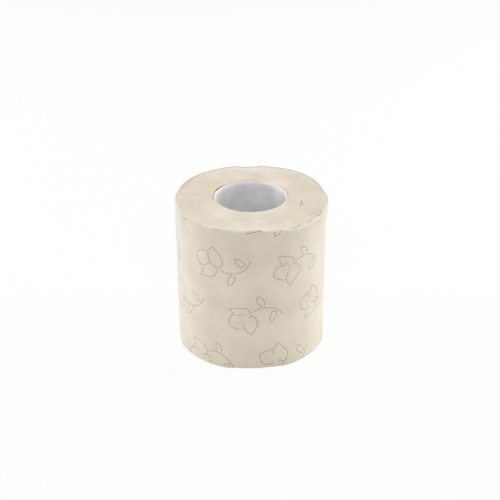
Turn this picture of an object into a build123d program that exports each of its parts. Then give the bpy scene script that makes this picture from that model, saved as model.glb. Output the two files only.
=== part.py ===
"""A full toilet paper roll, standing on its end: a spiral wound board tube and the paper wound on it.

Millimetres, +Z up. The origin is on the tube's axis in the plane that the roll stands on.
A bearing is an angle round the axis, seen from above: 0 is -Y, the side that faces the viewer,
and 90 is +X, the viewer's right.
"""

from build123d import *
import math
import os

# The roll
roll_width = 96.0  # length along the axis, which is the width of the paper
roll_diameter = 94.5  # over the wound paper, just before the tail
rim_bevel = 0.8  # the outer turns are soft, so both rims are pressed over a little

# The paper
sheet_thickness = 0.45  # the free sheet at the tail, three plies pressed together
sheet_length = 135.0  # from the tail to the first tear line, and from that to the next
tail_bearing = 170.6  # the free end lies at the back
slit_length = 4.6  # one cut of a tear line
slit_tie = 1.9  # paper left between two cuts
slit_width = 0.2
slit_depth = 0.4

# The turns, as they show on both end faces
turn_pitch = 2.6  # one ridge is a bundle of turns that the saw left leaning together
turn_depth = 0.5  # from a ridge's high outer edge down to the line between two ridges
line_width = 0.4  # over which a ridge falls to that line
rim_land = 2.8  # flat band at the outside, which the roll stands on
crest_drop = 0.04  # the ridges lie this much below the flat bands

# The core
core_diameter = 46.0  # outside of the board tube
core_wall = 0.8  # two plies of board
core_clearance = 0.1  # between the board and the first turn
seam_width = 0.5  # where the edges of a ply meet
seam_pitch = 88.0  # one turn of a ply along the tube
seam_bearing = 90.0  # where the gap leaves the tube, at its lower end

# The slack in the first turn, where the web was picked up by the core
slack_bearing = -117.0
slack_depth = 0.9  # widest gap between the core and the first turn
slack_radius = 14.0  # the curve that the lifted turn takes

roll_radius = roll_diameter / 2
core_radius = core_diameter / 2
bore_radius = core_radius - core_wall
paper_bore_radius = core_radius + core_clearance
ply_thickness = core_wall / 2
margin = 1.0  # how far a cutting body runs past the face that it cuts


def compass(bearing):
    """The angle from +X, in degrees, of a bearing."""
    return bearing - 90.0


def upright_axis(x):
    """An axis along Z through the point x on the X axis."""
    return Axis((x, 0, 0), (0, 0, 1))


def half_turn(section, centre, side):
    """Revolves a section in the XZ plane half a turn, through +Y where side is 1 and -Y where it is -1."""
    return revolve(section, upright_axis(centre), revolution_arc=180.0 * side)


def two_centre_spiral(section_at, growth):
    """A spiral body made of two half turns whose centres lie half the growth apart.

    The halves meet on the -X side. On the +X side the half through +Y ends one growth further out.
    section_at(extra) gives the section with all its radii longer by extra.
    """
    inner_half = half_turn(section_at(0.0), 0.0, -1)
    outer_half = half_turn(Pos(growth / 2, 0, 0) * section_at(growth / 2), growth / 2, 1)
    return inner_half, outer_half


def wound_section(extra):
    """Half of the wound paper's section, from the axis to the outer surface, with its rims pressed over."""
    radius = roll_radius + extra
    block = Rectangle(radius, roll_width, align=(Align.MIN, Align.MIN))
    rims = block.vertices().filter_by(lambda v: v.X > radius / 2)
    return Plane.XZ * chamfer(rims, rim_bevel)


def ridge_count():
    """How many ridges fit between the core and the flat band at the rim."""
    room = roll_radius - rim_land - paper_bore_radius
    return int(room / turn_pitch)


def ridge_section(extra):
    """The comb that cuts the lines between the turns out of the upper end face."""
    outer = roll_radius - rim_land + extra
    inner = outer - ridge_count() * turn_pitch
    valley = roll_width - turn_depth
    crest = roll_width - crest_drop
    points = [(inner, roll_width + margin), (inner, crest)]
    for k in range(ridge_count()):
        start = inner + k * turn_pitch
        points.append((start + line_width, valley))
        points.append((start + turn_pitch, crest))
    points.append((outer, roll_width + margin))
    return Plane.XZ * make_face(Polyline(*points, close=True))


def turn_lines():
    """The cutting bodies of both end faces: the lower one is the upper one seen in a mirror."""
    upper = two_centre_spiral(ridge_section, turn_pitch)
    middle = Plane.XY.offset(roll_width / 2)
    lower = [mirror(half, about=middle) for half in upper]
    return [*upper, *lower]


def tear_lines():
    """One row of cuts across the paper at each sheet length that ends on the outer turn."""
    slit = Box(slit_depth + margin, slit_width, slit_length)
    step = slit_length + slit_tie
    count = int((roll_width - slit_tie) / step)
    lowest = (roll_width - (count - 1) * step) / 2
    radius = roll_radius + (margin - slit_depth) / 2
    turn_length = math.pi * roll_diameter
    cuts = []
    for sheet in range(1, int(turn_length / sheet_length) + 1):
        angle = 360.0 * sheet * sheet_length / turn_length
        for k in range(count):
            cuts.append(Rot(0, 0, angle) * Pos(radius, 0, lowest + k * step) * slit)
    return cuts


def wound_paper():
    """The paper: one web in many turns, which pass for one solid with a tail at the outside."""
    inner_half, outer_half = two_centre_spiral(wound_section, sheet_thickness)
    paper = inner_half + outer_half
    paper -= turn_lines()
    paper -= tear_lines()
    paper = Rot(0, 0, compass(tail_bearing)) * paper
    bore = Pos(0, 0, -margin) * Cylinder(
        paper_bore_radius, roll_width + 2 * margin, align=(Align.CENTER, Align.CENTER, Align.MIN)
    )
    reach = paper_bore_radius + slack_depth - slack_radius
    slack = Pos(reach, 0, -margin) * Cylinder(
        slack_radius, roll_width + 2 * margin, align=(Align.CENTER, Align.CENTER, Align.MIN)
    )
    return paper - bore - Rot(0, 0, compass(slack_bearing)) * slack


def ply_seam():
    """The helical gap between the edges of the inner ply, open to the inside of the tube."""
    overrun = margin + seam_width
    path = Pos(0, 0, -overrun) * Helix(seam_pitch, roll_width + 2 * overrun, bore_radius)
    start = path @ 0
    across = Plane(origin=start, z_dir=path % 0, x_dir=Vector(start.X, start.Y, 0))
    gap = sweep(across * Rectangle(2 * ply_thickness, seam_width), path=path, is_frenet=True)
    return Rot(0, 0, compass(seam_bearing)) * gap


def core_tube():
    """The tube: two plies of board wound in a helix and glued, with the gap in the inner ply in view."""
    tube = Cylinder(core_radius, roll_width, align=(Align.CENTER, Align.CENTER, Align.MIN))
    tube -= Cylinder(bore_radius, roll_width, align=(Align.CENTER, Align.CENTER, Align.MIN))
    return tube - ply_seam()


nodes = {"core_tube": core_tube(), "wound_paper": wound_paper()}

os.makedirs("parts", exist_ok=True)
for name, shape in nodes.items():
    export_step(shape, os.path.join("parts", name + ".step"))
    print(name, "volume", round(shape.volume), "faces", len(shape.faces()), "solids", len(shape.solids()))
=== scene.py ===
# %% [markdown]
# A full toilet paper roll
#
# The roll stands on its end. It is one long strip of soft three-ply paper, wound on a board tube, and the
# strip carries a flower and a sprig, pricked and printed in small dots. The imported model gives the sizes.
# This script makes three pieces in their place: the outer sheet, the wound turns under it and the tube.

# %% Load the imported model
import math

import bmesh
import bpy
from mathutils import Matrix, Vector, geometry, kdtree, noise


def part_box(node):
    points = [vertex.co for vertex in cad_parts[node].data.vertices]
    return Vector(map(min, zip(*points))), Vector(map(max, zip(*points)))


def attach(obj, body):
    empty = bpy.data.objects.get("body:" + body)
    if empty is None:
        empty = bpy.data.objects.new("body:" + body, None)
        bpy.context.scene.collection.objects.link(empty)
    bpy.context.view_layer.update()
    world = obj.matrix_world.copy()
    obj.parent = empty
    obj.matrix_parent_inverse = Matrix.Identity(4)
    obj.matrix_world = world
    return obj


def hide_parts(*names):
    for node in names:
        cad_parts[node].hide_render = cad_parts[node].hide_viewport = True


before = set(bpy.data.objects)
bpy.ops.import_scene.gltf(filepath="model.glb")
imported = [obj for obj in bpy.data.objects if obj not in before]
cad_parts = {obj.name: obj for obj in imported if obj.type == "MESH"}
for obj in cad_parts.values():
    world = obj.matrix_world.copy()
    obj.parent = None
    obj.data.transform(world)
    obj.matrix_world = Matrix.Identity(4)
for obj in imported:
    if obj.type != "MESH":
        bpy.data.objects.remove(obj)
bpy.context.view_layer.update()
print("Nodes:", sorted(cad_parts))

# %% [markdown]
# Camera
#
# A camera that matches a photograph has the photograph's place, its tilt and its lens. Blender's lens is in
# millimetres on a sensor 36 mm wide, so a lens of 70 mm on that sensor sees about 29 degrees across.

# %% Place the camera
camera_distance = 0.5450
camera_height = 0.3518
camera_aside = -0.00046
camera_tilt = math.radians(28.31)
camera_lens = 70.1

camera = bpy.data.objects.new("camera", bpy.data.cameras.new("camera"))
camera.data.lens = camera_lens
camera.location = (camera_aside, -camera_distance, camera_height)
camera.rotation_euler = (math.pi / 2 - camera_tilt, 0.0, 0.0)
camera.data.clip_start = 0.01
bpy.context.scene.collection.objects.link(camera)
bpy.context.scene.camera = camera
bpy.context.scene.view_settings.view_transform = "Standard"
print("Camera at", tuple(round(c, 4) for c in camera.location))

# %% [markdown]
# Sizes
#
# Small things are easier to think of in millimetres, so every piece is shaped in millimetres and scaled to
# metres as the last step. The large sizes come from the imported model. A bearing is an angle round the axis
# in degrees, seen from above: 0 is the front, and 90 is the viewer's right.

# %% Read the large sizes from the frame
mm = 0.001
roll_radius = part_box("wound_paper")[1][0] / mm
roll_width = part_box("wound_paper")[1][2] / mm
core_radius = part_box("core_tube")[1][0] / mm
core_wall = 0.8
core_clearance = 0.1
sheet_thickness = 0.45
tail_bearing = 170.6
turn_length = 2 * math.pi * roll_radius
print("Radius", round(roll_radius, 2), "width", round(roll_width, 2), "core", round(core_radius, 2))

# %% Helpers for smooth shapes
def hump(value, centre, half_width):
    """1 at the centre, falling smoothly to 0 at half_width on both sides."""
    share = abs(value - centre) / half_width
    return math.cos(share * math.pi / 2) ** 2 if share < 1 else 0.0


def signed(bearing):
    """The same bearing from -180 to 180."""
    return (bearing + 180.0) % 360.0 - 180.0


def hump_round(bearing, centre, half_width):
    """The same as hump on a circle, in degrees."""
    return hump(signed(bearing - centre), 0.0, half_width)


def bumps(bearing, spots):
    """The height of a list of bumps: each is a bearing, half a width in degrees and a height."""
    return sum(height * hump_round(bearing, centre, half_width) for centre, half_width, height in spots)


def ease(value, low, high):
    """0 below low, 1 above high, and smooth between them."""
    share = min(max((value - low) / (high - low), 0.0), 1.0)
    return share * share * (3 - 2 * share)


def plateau(bearing, rise, fall):
    """1 between two ranges of bearings: it rises over the first and falls over the second."""
    return ease(signed(bearing), *rise) * (1 - ease(signed(bearing), *fall))


def ripple_round(bearing, waves, seed):
    """Smooth noise that closes on itself round the roll, with about that many waves."""
    angle = math.radians(bearing)
    reach = waves / (2 * math.pi)
    return noise.noise(Vector((reach * math.cos(angle), reach * math.sin(angle), seed)))


print("Humps:", [round(hump_round(b, 0, 30), 2) for b in (0, 10, 20, 30)])

# %% [markdown]
# The spiral
#
# The paper is a spiral: each turn lies on the one below. The model takes the simplest spiral, two half
# circles whose centres lie half a sheet apart. The helper below says how much of a sheet's thickness the
# radius has left to lose, from 1 at the tail to 0 half a turn later.

# %% Spiral helpers
def spiral_share(angle):
    """How much of one turn's growth is left at an angle, in radians, from the tail."""
    return (1 + math.cos(angle)) / 2 if angle < math.pi else 0.0


def under_sheet(angle):
    """The radius under the outer sheet."""
    return roll_radius - sheet_thickness * (1 - spiral_share(angle))


def bearing_at(angle):
    """The bearing at an angle, in radians, from the tail."""
    return (tail_bearing + math.degrees(angle)) % 360.0


def on_circle(radius, bearing, height):
    """A point of the roll from its radius, bearing and height."""
    angle = math.radians(bearing - 90.0)
    return Vector((radius * math.cos(angle), radius * math.sin(angle), height))


print("Under the sheet at the tail and opposite:", under_sheet(0.0), under_sheet(math.pi))

# %% [markdown]
# The rims
#
# Soft paper does not keep a sharp corner. The outer sheet bends over both rims like a sheet of card over a
# rod: softly at the back, and sharply all along the front. At the right of the front the roll has been
# pressed as well, so the crease lies 3 mm below the edge and the strip above it leans inward. The roll is not
# quite round either, and its foot flares out. The sheet and the turns under it both take these shapes from
# the helpers below, so they stay together.

# %% The bend over the rim
folded_rise, pressed_rise, pressed_fall = (-60.0, -26.0), (15.0, 36.0), (54.0, 78.0)
folded_flap, pressed_flap = 0.4, 2.3
soft_bend, fold_sharpness, left_softness = 1.0, 0.5, [(-92.0, 34.0, 0.7)]
soft_sweep, fold_sweep, sweep_ripple = 50.0, 24.0, 8.0
bend_ripple, fold_evenness = 0.25, 0.15


def folded(bearing):
    """How sharply the sheet is folded over the rim, from 0 to 1: all along the front."""
    return plateau(bearing, folded_rise, pressed_fall)


def pressed(bearing):
    """How far the rim has been pressed over, from 0 to 1: at the right of the front."""
    return plateau(bearing, pressed_rise, pressed_fall)


def rim_bend(bearing):
    """The radius and angle, in radians, of the bend over the upper rim, and the flat strip above it."""
    fold = folded(bearing)
    bend = soft_bend - fold_sharpness * fold + bumps(bearing, left_softness)
    bend += (bend_ripple - fold_evenness * fold) * ripple_round(bearing, 24, 1.7)
    sweep = soft_sweep + fold_sweep * fold + sweep_ripple * ripple_round(bearing, 15, 4.1)
    return bend, math.radians(sweep), folded_flap * fold + pressed_flap * pressed(bearing)


def bend_over(from_edge, bend, sweep, flap):
    """The slope, inset and lost height of a sheet bent over a rim, at a distance from its edge."""
    past = max(bend * sweep + flap - from_edge, 0.0)
    slope = min(past / bend, sweep)
    straight = past - bend * slope
    inset = bend * (1 - math.cos(slope)) + straight * math.sin(slope)
    lost = past - bend * math.sin(slope) - straight * math.cos(slope)
    return slope, inset, lost


print("Bend at the pressed rim:", [round(b, 2) for b in rim_bend(50.0)])

# %% Dents, and the shape out of round
rim_ripple = 0.3
rim_bumps = [(4.0, 9.0, 0.8), (15.0, 12.0, -0.6), (50.0, 30.0, -0.3), (101.0, 18.0, -1.2)]
rim_bumps += [(132.0, 44.0, 0.8), (177.0, 6.0, -1.1), (185.0, 8.0, -1.1), (-146.0, 8.0, -0.3)]
rim_bumps += [(-103.0, 15.0, -0.7), (-56.0, 10.0, -0.5), (-34.0, 12.0, -0.5), (-10.0, 7.0, -0.5)]
left_flat = [(-90.0, 60.0, -0.45)]
right_bulge = [(84.0, 26.0, 0.7)]
bulge_levels = (82.0, 92.0)
foot_flare = 1.75
flare_height = 14.0
foot_flares = [((-82.0, -60.0), (-20.0, -8.0)), ((10.0, 30.0), (66.0, 88.0))]


def rim_rise(bearing):
    """How far the upper rim lies above its nominal height."""
    return rim_ripple * ripple_round(bearing, 14, 8.3) + bumps(bearing, rim_bumps)


def out_of_round(bearing, height):
    """How far the roll is out of round: flat at the left, bulged at the top right, wide at the foot."""
    away = bumps(bearing, left_flat) + bumps(bearing, right_bulge) * ease(height, *bulge_levels)
    flare = sum(plateau(bearing, rise, fall) for rise, fall in foot_flares)
    return away + foot_flare * flare * (1 - ease(height, 0.0, flare_height))


print("Rise of the rim at the front:", round(rim_rise(0.0), 2))

# %% How the rim catches the light, as a painted highlight
flap_highlight, press_dims_highlight, highlight_fade = 0.55, 0.8, 0.6
crease_place, crease_half_width = 0.7, 0.5
crease_strength, crease_ripple = 0.8, 0.5
crease_spots = [(-46.0, 4.0, 1.0), (-35.5, 3.0, 0.8), (-17.0, 9.0, 0.5)]
crease_spots += [(-2.0, 12.0, 0.8), (16.0, 12.0, 0.8)]


def rim_crease(height, bearing):
    """1 on the line where the sheet bends over the upper rim: whole at the press, else in short bits."""
    bend, sweep, flap = rim_bend(bearing)
    whole = max(pressed(bearing), bumps(bearing, crease_spots))
    uneven = whole * (crease_strength + crease_ripple * ripple_round(bearing, 60, 6.2))
    return uneven * hump(roll_width - height, flap + crease_place * bend * sweep, crease_half_width)


def painted_rim_highlight(height, bearing):
    """The painted highlight at the rim: most on the line of the bend, then some on the strip above it."""
    bend, sweep, flap = rim_bend(bearing)
    above = ease(flap + bend * sweep - (roll_width - height), 0.0, highlight_fade)
    flap_part = flap_highlight * (folded(bearing) - press_dims_highlight * pressed(bearing))
    return max(rim_crease(height, bearing), flap_part * above)


print("Light on the crease at 50 degrees:", round(painted_rim_highlight(roll_width - 3.0, 50.0), 2))

# %% [markdown]
# The flower and the sprig
#
# The ornament is a few named points in millimetres from the heart of a flower, joined by arcs. An arc is two
# ends and a bulge: how far it bows to the left of the way from the first end to the second. Dots are then set
# along each arc at an even distance, as the pins stand on the embossing drum.

# %% Name the points of a spray
leaf_bulge = 1.9
flower = {
    "heart": (0.6, 1.0),
    "tip": (1.6, 12.9),
    "shoulder": (6.6, 7.2),
    "notch": (-1.8, 8.5),
    "corner": (-9.5, 6.7),
    "side": (-4.9, -2.0),
    "foot": (4.8, -0.7),
    "low left": (-5.9, -8.2),
    "low right": (2.0, -7.2),
}
sprig = {
    "stem": (5.6, -1.5),
    "stem end": (25.2, 4.6),
    "upper leaf": (22.0, 1.4),
    "upper tip": (16.4, 7.9),
    "lower leaf": (15.6, -4.4),
    "lower tip": (12.0, -11.2),
}


def moved(points, across, up):
    """The same named points, moved."""
    return {name: (x + across, y + up) for name, (x, y) in points.items()}


def spray_arcs(points, full):
    """A round petal, a pointed one and a half petal below, then a stem with a leaf on each side."""
    hook_ends = {"notch end": (-1.3, 5.4), "side end": (-2.2, -1.2), "foot end": (2.4, 0.4)}
    outline = [
        ("side", "corner", 2.45),
        ("corner", "notch", 0.75),
        ("tip", "shoulder", 0.2),
        ("shoulder", "foot", 2.15),
        ("low left", "side", -0.4),
        ("low left", "low right", -0.65),
        ("low right", "foot", -0.45),
        ("stem", "stem end", -4.8),
    ]
    if full:
        inner = [("heart", "tip", 2.4), ("foot", "heart", 0.5), ("heart", "side", 0.4)]
    else:
        inner = [("tip", "notch", -0.3), ("notch", "notch end", -0.3)]
        inner += [("side", "side end", 0.2), ("foot", "foot end", 0.3)]
    leaves = []
    for root, tip in (("upper leaf", "upper tip"), ("lower leaf", "lower tip")):
        leaves += [(root, tip, leaf_bulge), (tip, root, leaf_bulge)]
    place = {**hook_ends, **points}
    return [(place[start], place[end], bulge) for start, end, bulge in outline + inner + leaves]


print("Arcs in a spray:", len(spray_arcs({**flower, **sprig}, False)))

# %% Set dots along the arcs
dot_spacing = 1.6
least_spacing = 0.75 * dot_spacing


def dots_on_arc(start, end, bulge, spacing):
    """Points at an even distance along an arc."""
    start, end = Vector(start), Vector(end)
    chord = end - start
    turn = 4 * math.atan(2 * bulge / chord.length)
    length = chord.length * (turn / 2) / math.sin(turn / 2)
    radius = length / turn
    left = Vector((-chord.y, chord.x)).normalized()
    centre = (start + end) / 2 - left * radius * math.cos(turn / 2)
    count = round(length / spacing)
    points = []
    for k in range(count + 1):
        angle = turn * (0.5 - k / count)
        outward = left * radius * math.cos(angle)
        points.append(centre + outward - chord.normalized() * radius * math.sin(angle))
    return points


def spaced_dots(arcs):
    """The dots of a list of arcs, each far enough from the ones before."""
    dots = []
    for start, end, bulge in arcs:
        for point in dots_on_arc(start, end, bulge, dot_spacing):
            if all((point - other).length > least_spacing for other in dots):
                dots.append(point)
    return dots


def spray_dots(points, full=False, hanging=False):
    """The dots of a spray. A hanging one is drawn upright and turned over."""
    side = -1 if hanging else 1
    return [Vector((dot.x, side * dot.y)) for dot in spaced_dots(spray_arcs(points, full))]


print("Dots in a spray:", len(spray_dots({**flower, **sprig})))

# %% [markdown]
# Repeat it over the sheet
#
# The sheet is laid flat: x runs along the paper from the tail, and y up from the lower rim. Each row of the
# ornament is shifted against the row above, which is what makes a pattern look even and not striped. No two
# rows are quite alike, so each one says which of the named points lie elsewhere.

# %% Points that lie elsewhere
hanging_spray = {**flower, **moved(sprig, -2.2, 0.8), "low left": (-8.2, -7.7), "low right": (2.0, -5.9)}
full_flower = {
    "heart": (0.4, 1.6),
    "tip": (2.1, 12.5),
    "shoulder": (7.4, 6.4),
    "corner": (-8.9, 6.2),
    "side": (-5.2, -2.0),
    "foot": (5.3, -1.0),
    "low left": (-6.4, -8.7),
    "low right": (2.6, -7.3),
}
full_sprig = {"stem": (6.1, -1.7), "upper tip": (16.3, 6.6), "lower tip": (12.1, -11.8)}
narrow_flower = {
    "tip": (0.3, 14.0),
    "shoulder": (6.5, 7.6),
    "notch": (-2.2, 9.5),
    "side": (-6.2, -0.3),
    "foot": (2.8, -0.5),
    "low left": (-7.7, -7.0),
    "low right": (1.8, -4.5),
}
narrow_sprig = {
    "stem": (3.3, -0.5),
    "stem end": (21.8, 4.0),
    "upper leaf": (18.8, 2.0),
    "upper tip": (16.5, 9.0),
    "lower leaf": (13.4, -3.5),
    "lower tip": (8.0, -9.4),
}
bent_flower = {
    "tip": (3.4, 13.0),
    "notch": (-0.6, 8.8),
    "corner": (-8.4, 8.2),
    "side": (-7.6, -0.9),
    "foot": (2.6, -1.0),
    "low left": (-10.6, -4.4),
    "low right": (0.9, -5.7),
}
bent_sprig = {
    "stem": (2.9, -2.2),
    "stem end": (22.4, -0.2),
    "upper leaf": (17.9, -3.7),
    "upper tip": (15.4, 4.3),
    "lower leaf": (10.9, -7.0),
    "lower tip": (6.9, -13.7),
}
low_sprig = {
    "stem": (3.5, -2.2),
    "stem end": (22.0, 4.1),
    "lower leaf": (13.5, -3.1),
    "lower tip": (11.5, -10.9),
}
high_spray = {"low right": (5.5, -6.2), "lower leaf": (14.2, -1.0), "lower tip": (10.2, -8.2)}
top_spray = {
    "low left": (-5.4, -9.0),
    "low right": (5.4, -7.0),
    "lower leaf": (15.2, -4.6),
    "lower tip": (11.2, -11.4),
}
narrow_spray = {**hanging_spray, **narrow_flower, **narrow_sprig}
bent_spray = {**hanging_spray, **bent_flower, **bent_sprig}
print("Points of a hanging spray:", len(hanging_spray))

# %% Four rows of sprays
row_step = Vector((-28.6, -32.7))
pattern_rows = [
    (spray_dots({**flower, **sprig, **top_spray}), (0.0, 0.0)),
    (spray_dots(hanging_spray, hanging=True), (47.3, 2.8)),
    (spray_dots({**flower, **sprig, **full_flower, **full_sprig}, full=True), row_step),
    (spray_dots(narrow_spray, hanging=True), row_step + Vector((49.8, 0.0))),
    (spray_dots({**flower, **moved(sprig, 0.0, 3.0), **high_spray}), 2 * row_step + Vector((-2.0, -1.4))),
    (spray_dots(bent_spray, hanging=True), 2 * row_step + Vector((51.3, 0.0))),
    (spray_dots({**flower, **moved(sprig, -2.0, -1.2)}), 3 * row_step + Vector((-0.4, -1.1))),
    (spray_dots({**hanging_spray, **low_sprig}, hanging=True), 3 * row_step + Vector((49.8, 0.0))),
]
print("Kinds of spray:", len(pattern_rows))

# %% Set out all dots on the flat sheet
repeats = 3
repeat_length = turn_length / repeats
first_heart = Vector((3.0, 103.0))
edge_margin = 0.7
front_on_sheet = math.radians(360.0 - tail_bearing) * roll_radius
rim_arcs = [
    ((26.2, 93.8), (32.8, 95.2), -0.5),
    ((39.4, 94.3), (43.0, 94.4), -0.4),
    ((44.5, 92.2), (52.0, 89.4), 0.3),
]


def repeated_dots():
    """The dots of all rows, before those off the sheet are left out."""
    for repeat in range(repeats):
        along = Vector((front_on_sheet + repeat * repeat_length, 0.0))
        for spray, place in pattern_rows:
            for dot in spray:
                yield along + first_heart + Vector(place) + dot
        for dot in spaced_dots(rim_arcs):
            yield along + dot


def sheet_dots():
    """The dots of every spray that fall on the sheet."""
    dots = []
    for dot in repeated_dots():
        x, y = dot.x % turn_length, dot.y
        inside = edge_margin < y < roll_width - edge_margin and edge_margin < x < turn_length - edge_margin
        if inside:
            dots.append(Vector((x, y, 0.0)))
    return dots


def tree_of(points):
    """A tree that finds the nearest of some points."""
    tree = kdtree.KDTree(len(points))
    for number, point in enumerate(points):
        tree.insert(point, number)
    tree.balance()
    return tree


dots = sheet_dots()
dot_tree = tree_of(dots)
print("Dots on the sheet:", len(dots))

# %% [markdown]
# The outer sheet, flat
#
# A grid with cells fine enough for the dots everywhere would be far too heavy. So the grid starts coarse, is
# extruded to the thickness of the paper, and only the cells that a dot or a tear line touches are subdivided,
# besides the rows at both rims. The underside is never seen, so its rows between the rims are dissolved.

# %% Make the flat sheet
cell = 1.32
dot_reach = 0.55
tear_reach = 0.8 * cell
fine_cuts = 3
sheet_length = 135.0
slit_length = 4.6
slit_step = 6.5
rim_zone = 4.2
plain_zone = (9.0, roll_width - 12.0)
tear_lines = [n * sheet_length for n in (1, 2)]


def flat_grid(across, up, width, height):
    """A flat grid with a number of cells across and up, and one corner at the origin."""
    bm = bmesh.new()
    bmesh.ops.create_grid(bm, x_segments=across, y_segments=up, size=0.5)
    bmesh.ops.translate(bm, verts=bm.verts, vec=(0.5, 0.5, 0.0))
    bmesh.ops.scale(bm, verts=bm.verts, vec=(width, height, 1.0))
    return bm


def flat_slab():
    """The sheet as a coarse closed slab, with its underside at z = 0."""
    bm = flat_grid(round(turn_length / cell), round(roll_width / cell), turn_length, roll_width)
    grown = bmesh.ops.extrude_face_region(bm, geom=bm.faces[:], use_keep_orig=True)["geom"]
    top = [item for item in grown if isinstance(item, bmesh.types.BMVert)]
    bmesh.ops.translate(bm, verts=top, vec=(0.0, 0.0, sheet_thickness))
    bmesh.ops.recalc_face_normals(bm, faces=bm.faces[:])
    return bm


def is_top(item):
    """Whether a vertex, edge or face lies in the upper side of the slab."""
    verts = [item] if isinstance(item, bmesh.types.BMVert) else item.verts
    return all(vert.co.z > sheet_thickness / 2 for vert in verts)


def thin_underside(bm):
    """Dissolves the rows of the underside between the two rims."""
    rows = []
    for edge in bm.edges:
        a, b = edge.verts
        level = abs(a.co.y - b.co.y) < 0.01 and plain_zone[0] < a.co.y < plain_zone[1]
        if level and all(face.normal.z < -0.5 for face in edge.link_faces):
            rows.append(edge)
    bmesh.ops.dissolve_edges(bm, edges=rows, use_verts=False)


def plan(place):
    """The same place with no height."""
    return Vector((place.x, place.y, 0.0))


def near_detail(face):
    """Whether a face of the flat sheet is touched by a dot or a tear line."""
    middle = face.calc_center_median()
    reach = cell / 2 + dot_reach
    for dot, number, distance in dot_tree.find_range(plan(middle), 1.5 * reach):
        if abs(dot.x - middle.x) < reach and abs(dot.y - middle.y) < reach:
            return True
    return any(abs(middle.x - line) < tear_reach for line in tear_lines)


def refine(bm):
    """Subdivides the cells near the dots and the tear lines, and the rows at both rims."""
    edges = set()
    for face in bm.faces:
        if is_top(face) and near_detail(face):
            edges.update(face.edges)
    for edge in bm.edges:
        a, b = edge.verts
        upright = abs(a.co.x - b.co.x) < 0.01 and is_top(edge)
        middle_y = (a.co.y + b.co.y) / 2
        if upright and (middle_y < rim_zone / 2 or middle_y > roll_width - rim_zone):
            edges.add(edge)
    bmesh.ops.subdivide_edges(bm, edges=list(edges), cuts=fine_cuts, use_grid_fill=True)


sheet = flat_slab()
thin_underside(sheet)
refine(sheet)
print("Flat sheet:", len(sheet.verts), "vertices,", len(sheet.faces), "faces")

# %% [markdown]
# Prick the dots
#
# Each dot takes the nearest vertex of the fine grid. That vertex moves to the dot's centre and down, and
# its eight neighbours move onto a small circle round it, so the pit is round and not a diamond. A bump map
# could fake the pits, but real ones are also there in an exported mesh. A number stored on each vertex,
# called ink, lets the material colour the pits later.

# %% Press the dots and cut the tear lines
dot_radius = 0.48
dot_depth = 0.17
puff_depth = 0.10
puff_reach = 1.1
slit_depth = 0.08


def press_dots(bm):
    """Shapes one pit for each dot and marks it."""
    ink = bm.verts.layers.float.new("ink")
    tops = [vert for vert in bm.verts if is_top(vert)]
    tree = tree_of([plan(vert.co) for vert in tops])
    for dot in dots:
        place, number, distance = tree.find(dot)
        centre = tops[number]
        ring = {vert for face in centre.link_faces for vert in face.verts} - {centre}
        for vert in ring:
            away = plan(vert.co - place).normalized()
            vert.co.x = dot.x + dot_radius * away.x
            vert.co.y = dot.y + dot_radius * away.y
        centre.co.x, centre.co.y = dot.x, dot.y
        centre.co.z -= dot_depth
        centre[ink] = 1.0


def puff(bm):
    """Lets the paper sink a little towards the dots, so it stands puffed between them."""
    for vert in bm.verts:
        if is_top(vert):
            distance = dot_tree.find(plan(vert.co))[2]
            vert.co.z -= puff_depth * math.exp(-((distance / puff_reach) ** 2))


def cut_tear_lines(bm):
    """Sinks the column of vertices nearest to each tear line, slit by slit."""
    cut = bm.verts.layers.float.new("cut")
    fine = cell / (fine_cuts + 1)
    for vert in bm.verts:
        for line in tear_lines:
            in_slit = vert.co.y % slit_step < slit_length
            if is_top(vert) and in_slit and abs(vert.co.x - line) < fine / 2:
                vert.co.x = line
                vert.co.z -= slit_depth
                vert[cut] = 1.0


press_dots(sheet)
cut_tear_lines(sheet)
puff(sheet)
print("Pits pressed:", len(dots))

# %% [markdown]
# Wind the sheet on
#
# Winding is a change of coordinates: x becomes an angle, y a height, and z a distance out from the turn
# below. The rims bend over on the way. Slow noise and a few soft folds keep the paper from looking like a
# machined cylinder, and the tail ends in the small teeth of a torn tear line. The texture coordinates are
# taken first, from the flat sheet, so the print follows the paper.

# %% Waves and folds of the sheet
slow_wave, slow_height = 19.0, 0.16
quick_wave, quick_height = 6.5, 0.4 * slow_height
upright_stretch = 0.45
soft_folds = [(-28.0, 2.8, 0.12, 36.0, 34.0), (25.0, 3.0, 0.08, 34.0, 30.0)]
soft_folds += [(-44.0, 3.0, 0.10, 60.0, 30.0), (-2.0, 5.0, 0.22, 11.0, 1.6)]


def surface_wave(across, height, bearing):
    """How far the outer sheet stands off its place: slow waves, three upright folds and a short level one."""
    place = on_circle(roll_radius, bearing, height * upright_stretch)
    wave = slow_height * noise.noise(place / slow_wave) + quick_height * noise.noise(place / quick_wave)
    for where, half_width, rise, level, half_height in soft_folds:
        wave += rise * hump(across, where, half_width) * hump(height, level, half_height)
    return wave


print("Wave at the middle of the front:", round(surface_wave(0.0, roll_width / 2, 0.0), 3))

# %% Wrap the flat sheet round the roll
bottom_bend = 0.8
bottom_sweep = math.radians(40)
bottom_lift = sheet_thickness * math.sin(bottom_sweep)
crease_height = 0.3
unpressed_crease = 0.4
rise_reach = 22.0
tail_lift = 0.6
tail_reach = 9.0
tail_curl, curl_ripple, ripple_size = 0.6, 0.4, 17.0


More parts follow.
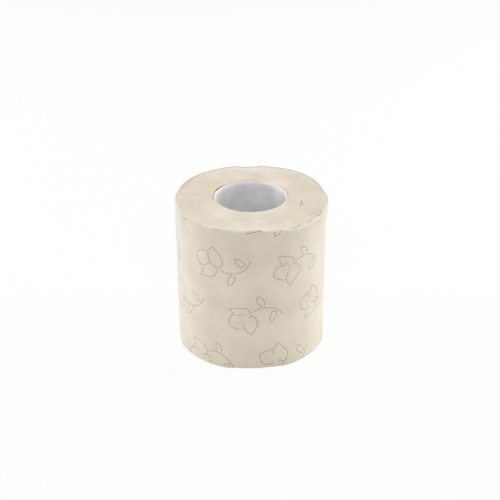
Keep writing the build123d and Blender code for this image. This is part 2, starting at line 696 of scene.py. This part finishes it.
def wind(flat):
    """Where a point of the flat sheet lies on the roll."""
    angle = flat.x / roll_radius
    bearing = bearing_at(angle)
    height = bottom_lift + flat.y * (1 - bottom_lift / roll_width)
    slope, inset, lost = bend_over(roll_width - height, *rim_bend(bearing))
    low_slope, low_inset, low_lost = bend_over(height - bottom_lift, bottom_bend, bottom_sweep, 0.0)
    radius = under_sheet(angle) - inset - low_inset + flat.z * math.cos(slope) * math.cos(low_slope)
    radius += surface_wave(flat.x - front_on_sheet, height, bearing) + out_of_round(bearing, height)
    radius += crease_height * rim_crease(height, bearing) * (unpressed_crease + pressed(bearing))
    uneven = tail_curl + curl_ripple * noise.noise((0.0, height / ripple_size, 3.0))
    radius += tail_lift * (1 - ease(flat.x, 0.0, tail_reach)) * uneven
    level = height - lost + low_lost + flat.z * (math.sin(slope) - math.sin(low_slope))
    level += rim_rise(bearing) * ease(height, roll_width - rise_reach, roll_width)
    return on_circle(radius, bearing, level)


print("Height of the tail's foot:", round(wind(Vector((0.0, 0.0, 0.0))).z, 2))

# %% Make the sheet a piece
tooth_length, tooth_width = 0.35, 1.9


def finish_sheet(bm):
    """Stores the flat place of every corner and the painted highlight at the rim, then winds the sheet on."""
    flat_place = bm.loops.layers.uv.new("flat_sheet")
    crease_highlight = bm.verts.layers.float.new("crease_highlight")
    for face in bm.faces:
        for loop in face.loops:
            loop[flat_place].uv = (loop.vert.co.x / turn_length, loop.vert.co.y / roll_width)
    for vert in bm.verts:
        if vert.co.x < cell / 8:
            vert.co.x += tooth_length * (1 + noise.noise((vert.co.y / tooth_width, 0.0, 9.0)))
        # The painted highlight of the rim is stored on each vertex.
        vert[crease_highlight] = painted_rim_highlight(vert.co.y, bearing_at(vert.co.x / roll_radius))
        vert.co = wind(vert.co)


def to_object(bm, name):
    """Makes a mesh an object of the scene."""
    mesh = bpy.data.meshes.new(name)
    bm.to_mesh(mesh)
    bm.free()
    made = bpy.data.objects.new(name, mesh)
    bpy.context.scene.collection.objects.link(made)
    return made


def to_piece(bm, name, sharp_angle):
    """Scales a mesh to metres and makes it an object with smooth faces and sharp edges."""
    bmesh.ops.scale(bm, verts=bm.verts, vec=(mm, mm, mm))
    bmesh.ops.recalc_face_normals(bm, faces=bm.faces[:])
    for face in bm.faces:
        face.smooth = True
    for edge in bm.edges:
        edge.smooth = edge.is_manifold and edge.calc_face_angle(0.0) < sharp_angle
    triangles = len(bm.calc_loop_triangles())
    open_edges = sum(1 for edge in bm.edges if not edge.is_manifold)
    print(name, "has", triangles, "triangles and", open_edges, "open edges")
    return to_object(bm, name)


finish_sheet(sheet)
outer_sheet = to_piece(sheet, "outer_sheet", math.radians(60))

# %% [markdown]
# The wound turns
#
# Seen on its end, the roll is one line that winds about 86 times from the core to the outside. One grid makes
# it: the first direction of the grid goes over the end face, down the outside and back under the other end
# face, and the second direction goes round. After one round each turn has moved out by one place, so the last
# column of the grid falls on the first column, one turn further on, and the two are welded.

# %% Spiral of the end faces
turn_count = 86
loose_share = 0.086
loose_power = 8
turn_gap = 0.05
paper_bore = core_radius + core_clearance
wound_depth = roll_radius - turn_gap - paper_bore


def turn_radius(turn):
    """The radius of the spiral after a number of turns: tight at the core and looser at the outside."""
    share = turn / turn_count
    return paper_bore + wound_depth * ((1 - loose_share) * share + loose_share * share**loose_power)


print("Pitch:", [round(turn_radius(n + 1) - turn_radius(n), 3) for n in (0, turn_count - 1)])

# %% Where turns have come apart
core_gaps = [(-121.0, 25.0, 0.7), (-84.0, 28.0, 0.22), (108.0, 42.0, 0.25), (180.0, 70.0, 0.22)]
gap_fade = 6
crevice_line = 164
crevice_spot = [(-125.0, 34.0, 1.0)]
crevice_gap, crevice_bottom, crevice_fade = 0.25, 0.6, 8


def opened(half_turns, turn, bearing):
    """How far a turn has moved out of its place, at the gap beside the core and between two turns."""
    side = (half_turns > crevice_line) - (half_turns < crevice_line)
    reach = math.exp(-abs(half_turns - crevice_line) / crevice_fade)
    apart = side * crevice_gap / 2 * bumps(bearing, crevice_spot) * reach
    return bumps(bearing, core_gaps) * math.exp(-turn / gap_fade) + apart


def crevice_depth(half_turns, bearing):
    """How deep the line between two turns is where they have come apart."""
    return crevice_bottom * bumps(bearing, crevice_spot) if half_turns == crevice_line else 0.0


print("Widest gap beside the core:", round(max(opened(0, 0.0, bearing) for bearing in range(360)), 2))

# %% Nicks, and the painted shade in every gap
nicks = [(Vector((31.0, -6.8)), Vector((31.1, -12.4))), (Vector((29.8, -11.6)), Vector((30.0, -13.0)))]
nicks_from = 25.0
nick_half_width, nick_depth, nick_shade = 0.5, 0.4, 0.75
ridge_shade = 0.05
gap_shade = 1.6


def nicked(place):
    """1 on the short nicks that cross the turns, and 0 a little way off them."""
    deepest = 0.0
    for start, end in nicks if place.x > nicks_from else []:
        near, share = geometry.intersect_point_line(place.xy, start, end)
        share = min(max(share, 0.0), 1.0)
        deepest = max(deepest, hump((place.xy - start.lerp(end, share)).length, 0.0, nick_half_width))
    return deepest


def shade_in(half_turns, place, bearing):
    """Painted shade in the gaps, in the nicks and faintly along the turns: 1 in the open gap beside the core.
    """
    shade = crevice_depth(half_turns, bearing) + nick_shade * nicked(place)
    uneven = 0.5 + noise.noise(Vector((half_turns * 0.35, bearing / 50.0, 5.0)))
    shade += ridge_shade * (1 - half_turns % 2 + uneven)
    if half_turns == 0:
        shade += gap_shade * opened(0, 0.0, bearing)
    return min(shade, 1.0)


print("Nicks:", len(nicks))

# %% Height of the end faces
ridge_height = 0.09
sheet_edge_step = 0.12
end_droop = 7.0
rise_width = 14.0
slow_uneven, slow_size, turn_uneven = 0.10, 14.0, 0.05


def under_flap(inset, bend, sweep, flap):
    """The height under the bent sheet at a distance inward from the sheet's straight side."""
    curved_inset = bend * (1 - math.cos(sweep))
    if inset < curved_inset:
        rise = bend * math.sin(math.acos(1 - inset / bend))
    else:
        rise = bend * math.sin(sweep) + (inset - curved_inset) / math.tan(sweep)
    return roll_width - bend * sweep - flap + rise


def end_face_level(half_turns, turn, radius, angle):
    """The height of the upper end face: ridges, uneven turns, and the slope down to the bent rim."""
    bearing = bearing_at(angle)
    bent = rim_bend(bearing)
    inset = under_sheet(angle) - radius
    edge_inset, edge_lost = bend_over(0.0, *bent)[1:]
    place = on_circle(radius, bearing, 0.0)
    if inset < edge_inset:
        level = under_flap(inset, *bent) - turn_gap
    else:
        still_bent = 1 - ease(inset, edge_inset, edge_inset + end_droop)
        level = roll_width - edge_lost * still_bent - sheet_edge_step
        level += slow_uneven * noise.noise(place / slow_size)
        level += turn_uneven * noise.noise(Vector((turn * 0.8, bearing / 40.0, 2.0)))
    level += ridge_height * (half_turns % 2) - crevice_depth(half_turns, bearing) - nick_depth * nicked(place)
    return level + rim_rise(bearing) * ease(radius, roll_radius - rise_width, roll_radius)


print("Height of the end face beside the core:", round(end_face_level(0, 0.0, paper_bore, 0.0), 2))

# %% One vertex of the turns
columns = 220
side_levels = (82.0, flare_height, 5.0)
side_inset = 0.4
soft_depth = 10.0


def turn_point(half_turns, column, side_level=None, upper=True):
    """A vertex of the wound turns on an end face, or on the outside where a side level is given."""
    angle = 2 * math.pi * column / columns
    bearing = bearing_at(angle)
    turn = half_turns / 2 + spiral_share(angle)
    radius = turn_radius(turn)
    if side_level:
        height = side_level
        radius -= side_inset
    elif upper:
        height = end_face_level(half_turns, turn, radius, angle)
    else:
        height = ridge_height * (1 - half_turns % 2)
        height += bottom_lift * ease(radius, roll_radius - bottom_bend, roll_radius)
    shift = opened(half_turns, turn, bearing)
    shift += out_of_round(bearing, height) * ease(radius, roll_radius - soft_depth, roll_radius)
    return on_circle(radius + shift, bearing, height)


print("First vertex:", tuple(round(c, 2) for c in turn_point(0, 0)))

# %% Weave the grid into turns
last_half_turn = 2 * (turn_count - 1)
rows = [(half_turns, None, True) for half_turns in range(last_half_turn + 1)]
rows += [(last_half_turn, level, True) for level in side_levels]
rows += [(half_turns, None, False) for half_turns in range(last_half_turn, -1, -1)]


def wound_turns_mesh():
    """The wound turns as one closed mesh."""
    around = len(rows)
    bm = flat_grid(around, columns, around, columns)
    shade = bm.verts.layers.float.new("shade")
    for vert in bm.verts:
        row, column = round(vert.co.x) % around, round(vert.co.y)
        half_turns, side_level, upper = rows[row]
        vert.co = turn_point(half_turns, column, side_level, upper)
        if upper and not side_level:
            vert[shade] = shade_in(half_turns, vert.co, bearing_at(2 * math.pi * column / columns))
    bmesh.ops.remove_doubles(bm, verts=bm.verts, dist=0.002)
    rim = [edge for edge in bm.edges if edge.is_boundary]
    bmesh.ops.holes_fill(bm, edges=rim, sides=0)
    return bm


wound_turns = to_piece(wound_turns_mesh(), "wound_turns", math.radians(60))

# %% [markdown]
# The tube
#
# The tube is two plies of board, wound in a helix, and the joint of the inner ply shows as a thin line that
# climbs round the inside. The same kind of grid makes it. Its columns lean with the helix, so the joint is
# simply a narrow column of cells, pushed into the wall.

# %% Outline of the wall
bore_radius = core_radius - core_wall
wall_rows = 24
tube_soft = 0.2
ply_line_half_width, ply_line_depth = 0.05, 0.1


def tube_profile():
    """The closed outline of the wall as radius and height: up the bore, over the rim and down the outside."""
    inner = [(bore_radius, roll_width * k / wall_rows) for k in range(wall_rows + 1)]
    inner[0] = (bore_radius, tube_soft)
    inner[-1] = (bore_radius, roll_width - tube_soft)
    middle = bore_radius + core_wall / 2
    rim = [
        (bore_radius + tube_soft, roll_width),
        (middle - ply_line_half_width, roll_width),
        (middle, roll_width - ply_line_depth),
        (middle + ply_line_half_width, roll_width),
        (core_radius - tube_soft, roll_width),
    ]
    upper = inner + rim + [(core_radius, roll_width - tube_soft)]
    foot = [(radius, roll_width - height) for radius, height in reversed(rim)]
    return upper + [(core_radius, tube_soft)] + foot


print("Points in the outline of the wall:", len(tube_profile()))

# %% Tube mesh
seam_bearing = 90.0
seam_pitch = 88.0
seam_width = 0.5
seam_depth = core_wall / 2 - 0.06
seam_wall = 0.04
tube_columns = 160
fray_height = 0.08


def seam_column(column):
    """The angle of a column, in degrees, and its push into the wall. Four columns make the joint."""
    half = math.degrees(seam_width / 2 / bore_radius)
    edge = math.degrees(seam_wall / bore_radius)
    joint = [(-half, 0.0), (-half + edge, seam_depth), (half - edge, seam_depth), (half, 0.0)]
    if column < len(joint):
        return joint[column]
    share = (column - len(joint) + 1) / (tube_columns - len(joint) + 1)
    return half + share * (360.0 - 2 * half), 0.0


def tube_mesh():
    """The tube as one closed mesh."""
    outline = tube_profile()
    bm = flat_grid(tube_columns, len(outline), tube_columns, len(outline))
    for vert in bm.verts:
        turn, push = seam_column(round(vert.co.x) % tube_columns)
        radius, height = outline[round(vert.co.y) % len(outline)]
        bearing = seam_bearing + turn + 360.0 * height / seam_pitch
        radius = max(radius, bore_radius + push)
        fray = fray_height * ripple_round(bearing, 60, 5.0) * ease(height, roll_width - 1.0, roll_width)
        vert.co = on_circle(radius, bearing, height + fray)
    bmesh.ops.remove_doubles(bm, verts=bm.verts, dist=0.0005)
    return bm


core_board = to_piece(tube_mesh(), "core_board", math.radians(50))

# %% [markdown]
# Shader maths
#
# Materials are built from nodes, and a long chain of Math nodes is hard to read. This small class wraps the
# output of a node, so that a sum of outputs is written as a sum. Every other node comes from one method.

# %% A socket that can be used in a sum
class Signal:
    """The output of a node."""

    def __init__(self, nodes, output):
        self.nodes = nodes
        self.output = output

    def math(self, operation, first, second):
        """A Math node on two numbers or signals."""
        return self.nodes.node("ShaderNodeMath", {"operation": operation}, {0: first, 1: second})

    def __add__(self, other):
        return self.math("ADD", self, other)

    def __sub__(self, other):
        return self.math("SUBTRACT", self, other)

    def __rsub__(self, other):
        return self.math("SUBTRACT", other, self)

    def __mul__(self, other):
        return self.math("MULTIPLY", self, other)

    def __abs__(self):
        return self.math("ABSOLUTE", self, 0.0)

    __radd__ = __add__
    __rmul__ = __mul__


class Nodes:
    """The nodes of a material or a world, with its shader."""

    def __init__(self, owner, shader):
        owner.use_nodes = True
        self.tree = owner.node_tree
        self.shader = self.tree.nodes[shader]

    def node(self, kind, settings, sockets, output=0):
        """Makes a node: its settings are set first, then the values or links of its sockets."""
        made = self.tree.nodes.new(kind)
        for name, value in settings.items():
            setattr(made, name, value)
        for name, value in sockets.items():
            if isinstance(value, Signal):
                self.tree.links.new(value.output, made.inputs[name])
            else:
                made.inputs[name].default_value = value
        return Signal(self, made.outputs[output])

    def wear(self, socket, signal):
        """Links a signal to a socket of the shader."""
        self.tree.links.new(signal.output, self.shader.inputs[socket])


class Finish(Nodes):
    """A material under construction."""

    def __init__(self, name, fixed):
        self.material = bpy.data.materials.new(name)
        super().__init__(self.material, "Principled BSDF")
        for socket, value in fixed.items():
            self.shader.inputs[socket].default_value = value


print("Shader helpers ready")

# %% Patterns that several finishes share
def srgb(red, green, blue):
    """A colour as a screen shows it, from 0 to 255, as the linear colour that a shader takes."""
    linear = [(c / 255 / 12.92 if c < 11 else ((c / 255 + 0.055) / 1.055) ** 2.4) for c in (red, green, blue)]
    return (*linear, 1.0)


def part_of(finish, place, axis):
    """One coordinate of a place."""
    return finish.node("ShaderNodeSeparateXYZ", {}, {"Vector": place}, axis)


def stored(finish, name):
    """A number that the mesh stores on its vertices."""
    return finish.node("ShaderNodeAttribute", {"attribute_name": name}, {}, "Fac")


def stretched(finish, place, scale, turned=0.0):
    """A place scaled apart in x, y and z, and turned about z."""
    sockets = {"Vector": place, "Scale": scale, "Rotation": (0.0, 0.0, turned)}
    return finish.node("ShaderNodeMapping", {}, sockets)


def cloud(finish, place, size_mm, detail=2.0, roughness=0.5):
    """Noise from 0 to 1 with features of about that size."""
    scale = 1.0 / (size_mm * mm)
    return finish.node(
        "ShaderNodeTexNoise", {}, {"Vector": place, "Scale": scale, "Detail": detail, "Roughness": roughness}
    )


def step(finish, signal, low, high):
    """0 below low, 1 above high, and smooth between them."""
    return finish.node(
        "ShaderNodeMapRange",
        {"interpolation_type": "SMOOTHSTEP"},
        {"Value": signal, "From Min": low, "From Max": high},
    )


def blend(finish, factor, first, second):
    """A colour between two colours."""
    return finish.node("ShaderNodeMix", {"data_type": "RGBA"}, {0: factor, 6: first, 7: second}, 2)


def relief(finish, height, depth_mm, below=None):
    """A bump of that depth on top of another bump."""
    sockets = {"Height": height, "Distance": depth_mm * mm, "Strength": 1.0}
    if below:
        sockets["Normal"] = below
    return finish.node("ShaderNodeBump", {}, sockets)


print("White is", srgb(255, 255, 255))

# %% [markdown]
# Tissue
#
# Tissue is matte and a little fuzzy, so it has no shine and a soft sheen at grazing angles. Its surface has
# four kinds of relief: soft upright folds where the roll has been handled, the small diamonds of the micro
# embossing, loose fibres, and the fine crepe, which runs up the roll because the web was scraped off its
# drum across its run. The colour is a warm unbleached white with slow, faint clouds. Painted shade makes it a
# little darker below the rim and in the slits of the tear lines, and a painted highlight makes it lighter on
# the creases and on the strip above them. The ink sits in the pits.

# %% Printed tissue
matte_paper = {"Roughness": 0.95, "Specular IOR Level": 0.2, "Sheen Roughness": 0.6}
tissue_light = srgb(227, 216, 198)
tissue_dark = srgb(217, 205, 186)
painted_highlight_colour = srgb(249, 244, 232)
ink_colour = srgb(38, 27, 16)
diamond_size = 1.1
under_rim = (0.6 * roll_width * mm, 0.97 * roll_width * mm)
painted_shade_under_rim, slit_shade, highlight_strength = 0.12, 0.05, 0.9
ink_from, ink_full = 0.10, 0.29


def diamonds(finish, place):
    """The micro embossing: two crossed waves on the slant."""
    wave_settings = {"wave_type": "BANDS", "bands_direction": "X", "wave_profile": "SIN"}
    scale = 1.0 / (diamond_size * mm) / 3.0
    pair = []
    for turned in (math.radians(45), math.radians(-45)):
        slanted = stretched(finish, place, (1.0, 1.0, 1.0), turned)
        sockets = {"Vector": slanted, "Scale": scale, "Distortion": 0.6, "Detail": 1.0, "Detail Scale": 2.0}
        pair.append(finish.node("ShaderNodeTexWave", wave_settings, sockets, "Fac"))
    return pair[0] * pair[1]


def tissue_relief(finish, place):
    """Soft upright folds where the roll has been handled, then diamonds, crepe and fibres."""
    crepe = cloud(finish, stretched(finish, place, (1.0, 0.12, 1.0)), 0.35, 3.0, 0.6)
    fibres = cloud(finish, place, 0.22, 3.0, 0.7)
    upright = cloud(finish, stretched(finish, place, (1.0, 0.03, 1.0)), 3.0, 1.0)
    handled = step(finish, cloud(finish, place, 28.0, 1.0), 0.48, 0.66)
    bump = relief(finish, upright * handled, 0.5)
    bump = relief(finish, diamonds(finish, place), 0.04, bump)
    bump = relief(finish, crepe, 0.06, bump)
    return relief(finish, fibres, 0.05, bump)


def printed_tissue():
    """The outer sheet's material."""
    finish = Finish("printed_tissue", {**matte_paper, "Sheen Weight": 0.6})
    flat_place = finish.node("ShaderNodeUVMap", {"uv_map": "flat_sheet"}, {})
    place = stretched(finish, flat_place, (turn_length * mm, roll_width * mm, 1.0))
    clouds = cloud(finish, place, 17.0, 3.0) * 0.7 + cloud(finish, place, 2.4, 2.0) * 0.3
    # Painted shade: the sheet is made a little darker towards its top, just below the rim.
    clouds -= step(finish, part_of(finish, place, "Y"), *under_rim) * painted_shade_under_rim
    paper = blend(finish, step(finish, clouds, 0.3, 0.65), tissue_dark, tissue_light)
    # Painted shade in the slits of the tear lines: the paper is darkened a little towards the ink colour.
    paper = blend(finish, step(finish, stored(finish, "cut"), 0.3, 1.0) * slit_shade, paper, ink_colour)
    # Painted highlight: the paper is made lighter on the crease and on the strip above it.
    paper = blend(finish, stored(finish, "crease_highlight") * highlight_strength, paper, painted_highlight_colour)
    colour = blend(finish, step(finish, stored(finish, "ink"), ink_from, ink_full), paper, ink_colour)
    finish.wear("Base Color", colour)
    finish.wear("Normal", tissue_relief(finish, place))
    return finish.material


outer_sheet.data.materials.append(printed_tissue())
print("Printed tissue on", outer_sheet.name)

# %% [markdown]
# Cut ends
#
# The saw that cuts the long log into rolls leaves the ends smooth and a little fuzzy. It also leaves faint
# straight streaks, all one way. They are drawn with noise that is stretched far along that way. Where turns
# have come apart or are nicked, and faintly along every turn, painted shade stored on the mesh darkens the
# paper towards a dark brown.

# %% Cut tissue
cut_light = srgb(241, 233, 220)
cut_dark = srgb(226, 214, 196)
painted_shade_colour = srgb(70, 60, 50)
streak_angle = math.radians(4)
sides_from, sides_to = 12.0 * mm, 40.0 * mm


def cut_tissue():
    """The material of the wound turns."""
    finish = Finish("cut_tissue", {**matte_paper, "Sheen Weight": 0.2})
    place = finish.node("ShaderNodeTexCoord", {}, {}, "Object")
    streaks = cloud(finish, stretched(finish, place, (0.05, 1.0, 1.0), streak_angle), 0.8, 2.0)
    patches = cloud(finish, place, 13.0, 2.0)
    # The end face is made a little darker towards its left and right.
    sides = step(finish, abs(part_of(finish, place, "X")), sides_from, sides_to)
    tone = patches * 0.5 + streaks * 0.3 - sides * 0.15
    paper = blend(finish, step(finish, tone, 0.2, 0.55), cut_dark, cut_light)
    # Painted shade: the shade stored on the mesh darkens the paper towards a dark brown in the gaps and
    # nicks.
    finish.wear("Base Color", blend(finish, stored(finish, "shade") * 0.8, paper, painted_shade_colour))
    bump = relief(finish, cloud(finish, place, 0.3, 3.0, 0.7), 0.08)
    bump = relief(finish, streaks * step(finish, patches, 0.45, 0.6), 0.12, bump)
    finish.wear("Normal", bump)
    return finish.material


wound_turns.data.materials.append(cut_tissue())
print("Cut tissue on", wound_turns.name)

# %% [markdown]
# Board
#
# The tube is grey-white recycled board: smooth and matte, with faint clouds and short flecks of fibre, which
# are noise stretched up the wall. The top two millimetres of the wall are painted lighter, as painted light
# that reaches only the upper part of the bore.

# %% Core board
board_light = srgb(238, 237, 238)
board_dark = srgb(222, 220, 221)
board_edge = srgb(236, 228, 216)
painted_bore_light = srgb(248, 247, 248)
lit_from, lit_to = (roll_width - 1.9) * mm, (roll_width - 0.4) * mm
cut_from, cut_to = (roll_width - 0.3) * mm, (roll_width - 0.1) * mm


def board():
    """The tube's material."""
    finish = Finish("core_board", {"Roughness": 0.85, "Specular IOR Level": 0.3})
    place = finish.node("ShaderNodeTexCoord", {}, {}, "Object")
    flecks = cloud(finish, stretched(finish, place, (1.0, 1.0, 0.3)), 0.5, 4.0, 0.6)
    clouds = cloud(finish, place, 9.0, 2.0)
    tone = flecks * 0.4 + clouds * 0.6
    wall = blend(finish, step(finish, tone, 0.35, 0.65), board_dark, board_light)
    height = part_of(finish, place, "Z")
    # Painted light: the top of the wall is made lighter, as if only its upper part were lit.
    wall = blend(finish, step(finish, height, lit_from, lit_to), wall, painted_bore_light)
    finish.wear("Base Color", blend(finish, step(finish, height, cut_from, cut_to), wall, board_edge))
    finish.wear("Normal", relief(finish, flecks, 0.03))
    return finish.material


core_board.data.materials.append(board())
print("Board on", core_board.name)

# %% [markdown]
# Tie the pieces to the imported model
#
# Each piece rides on the one body of the roll, and the part of the imported model that it stands for is
# hidden.

# %% Ride and replace
for piece, node, slot in (
    (outer_sheet, "wound_paper", "tissue"),
    (wound_turns, "wound_paper", "tissue"),
    (core_board, "core_tube", "core_board"),
):
    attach(piece, "root")
    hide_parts(node)
print("Pieces tied:", outer_sheet.name, wound_turns.name, core_board.name)

# %% [markdown]
# Floor and light
#
# The roll stands on a white sweep. The floor is mostly its own white where the camera sees it, with a share
# of real light so that the contact shadow stays. Two large soft lamps stand left and right, a third hangs
# above, a fourth shines down from the front, and the world fills the rest. The side lamps are the strongest,
# so the sides of the roll are brighter than its front. The world is white where the camera sees it, like the
# floor, so the two meet without a horizon.

# %% Floor
def seen(nodes):
    """1 for a ray that the camera sees, straight or by way of a mirror or glass."""
    kinds = ("Is Camera Ray", "Is Glossy Ray", "Is Transmission Ray")
    return sum(nodes.node("ShaderNodeLightPath", {}, {}, kind) for kind in kinds)


def white_where_seen(finish, share):
    """Blends the shader with plain white light where it is seen."""
    white = finish.node("ShaderNodeEmission", {}, {"Color": srgb(255, 255, 255), "Strength": 1.0})
    lit = Signal(finish, finish.shader.outputs[0])
    mixed = finish.node("ShaderNodeMixShader", {}, {0: seen(finish) * share, 1: lit, 2: white})
    finish.tree.links.new(mixed.output, finish.tree.nodes["Material Output"].inputs["Surface"])


floor_half = 3.0
floor_bm = bmesh.new()
bmesh.ops.create_grid(floor_bm, x_segments=1, y_segments=1, size=floor_half)
floor = to_object(floor_bm, "floor")
floor_finish = Finish("floor_white", {"Base Color": srgb(240, 240, 240), "Roughness": 0.9})
white_where_seen(floor_finish, 0.9)
floor.data.materials.append(floor_finish.material)
print("Floor made")

# %% Lamps
def soft_lamp(name, place, width, height, power):
    """A large area lamp that faces the middle of the roll."""
    lamp = bpy.data.lights.new(name, "AREA")
    lamp.shape = "RECTANGLE"
    lamp.size, lamp.size_y = width, height
    lamp.energy = power
    holder = bpy.data.objects.new(name, lamp)
    holder.location = place
    aim = Vector((0.0, 0.0, roll_width * mm / 2)) - Vector(place)
    holder.rotation_euler = aim.to_track_quat("-Z", "Y").to_euler()
    bpy.context.scene.collection.objects.link(holder)


soft_lamp("lamp_left", (-1.0, 0.3, 0.42), 0.9, 0.9, 6.7)
soft_lamp("lamp_right", (0.95, 0.4, 0.42), 0.9, 0.9, 7.7)
soft_lamp("lamp_above", (0.0, 0.2, 1.2), 2.2, 1.0, 3.2)
soft_lamp("lamp_front", (0.0, -1.15, 1.0), 1.2, 0.8, 5.2)
print("Lamps set")

# %% White room
room_light = 0.45


def white_room(strength):
    """A world that lights the roll with one strength and is plain white where it is seen."""
    world = bpy.data.worlds.new("white_room")
    room = Nodes(world, "Background")
    room.shader.inputs["Color"].default_value = srgb(255, 255, 255)
    room.wear("Strength", seen(room) * (1.0 - strength) + strength)
    return world


bpy.context.scene.world = white_room(room_light)
print("Room lit at", room_light)
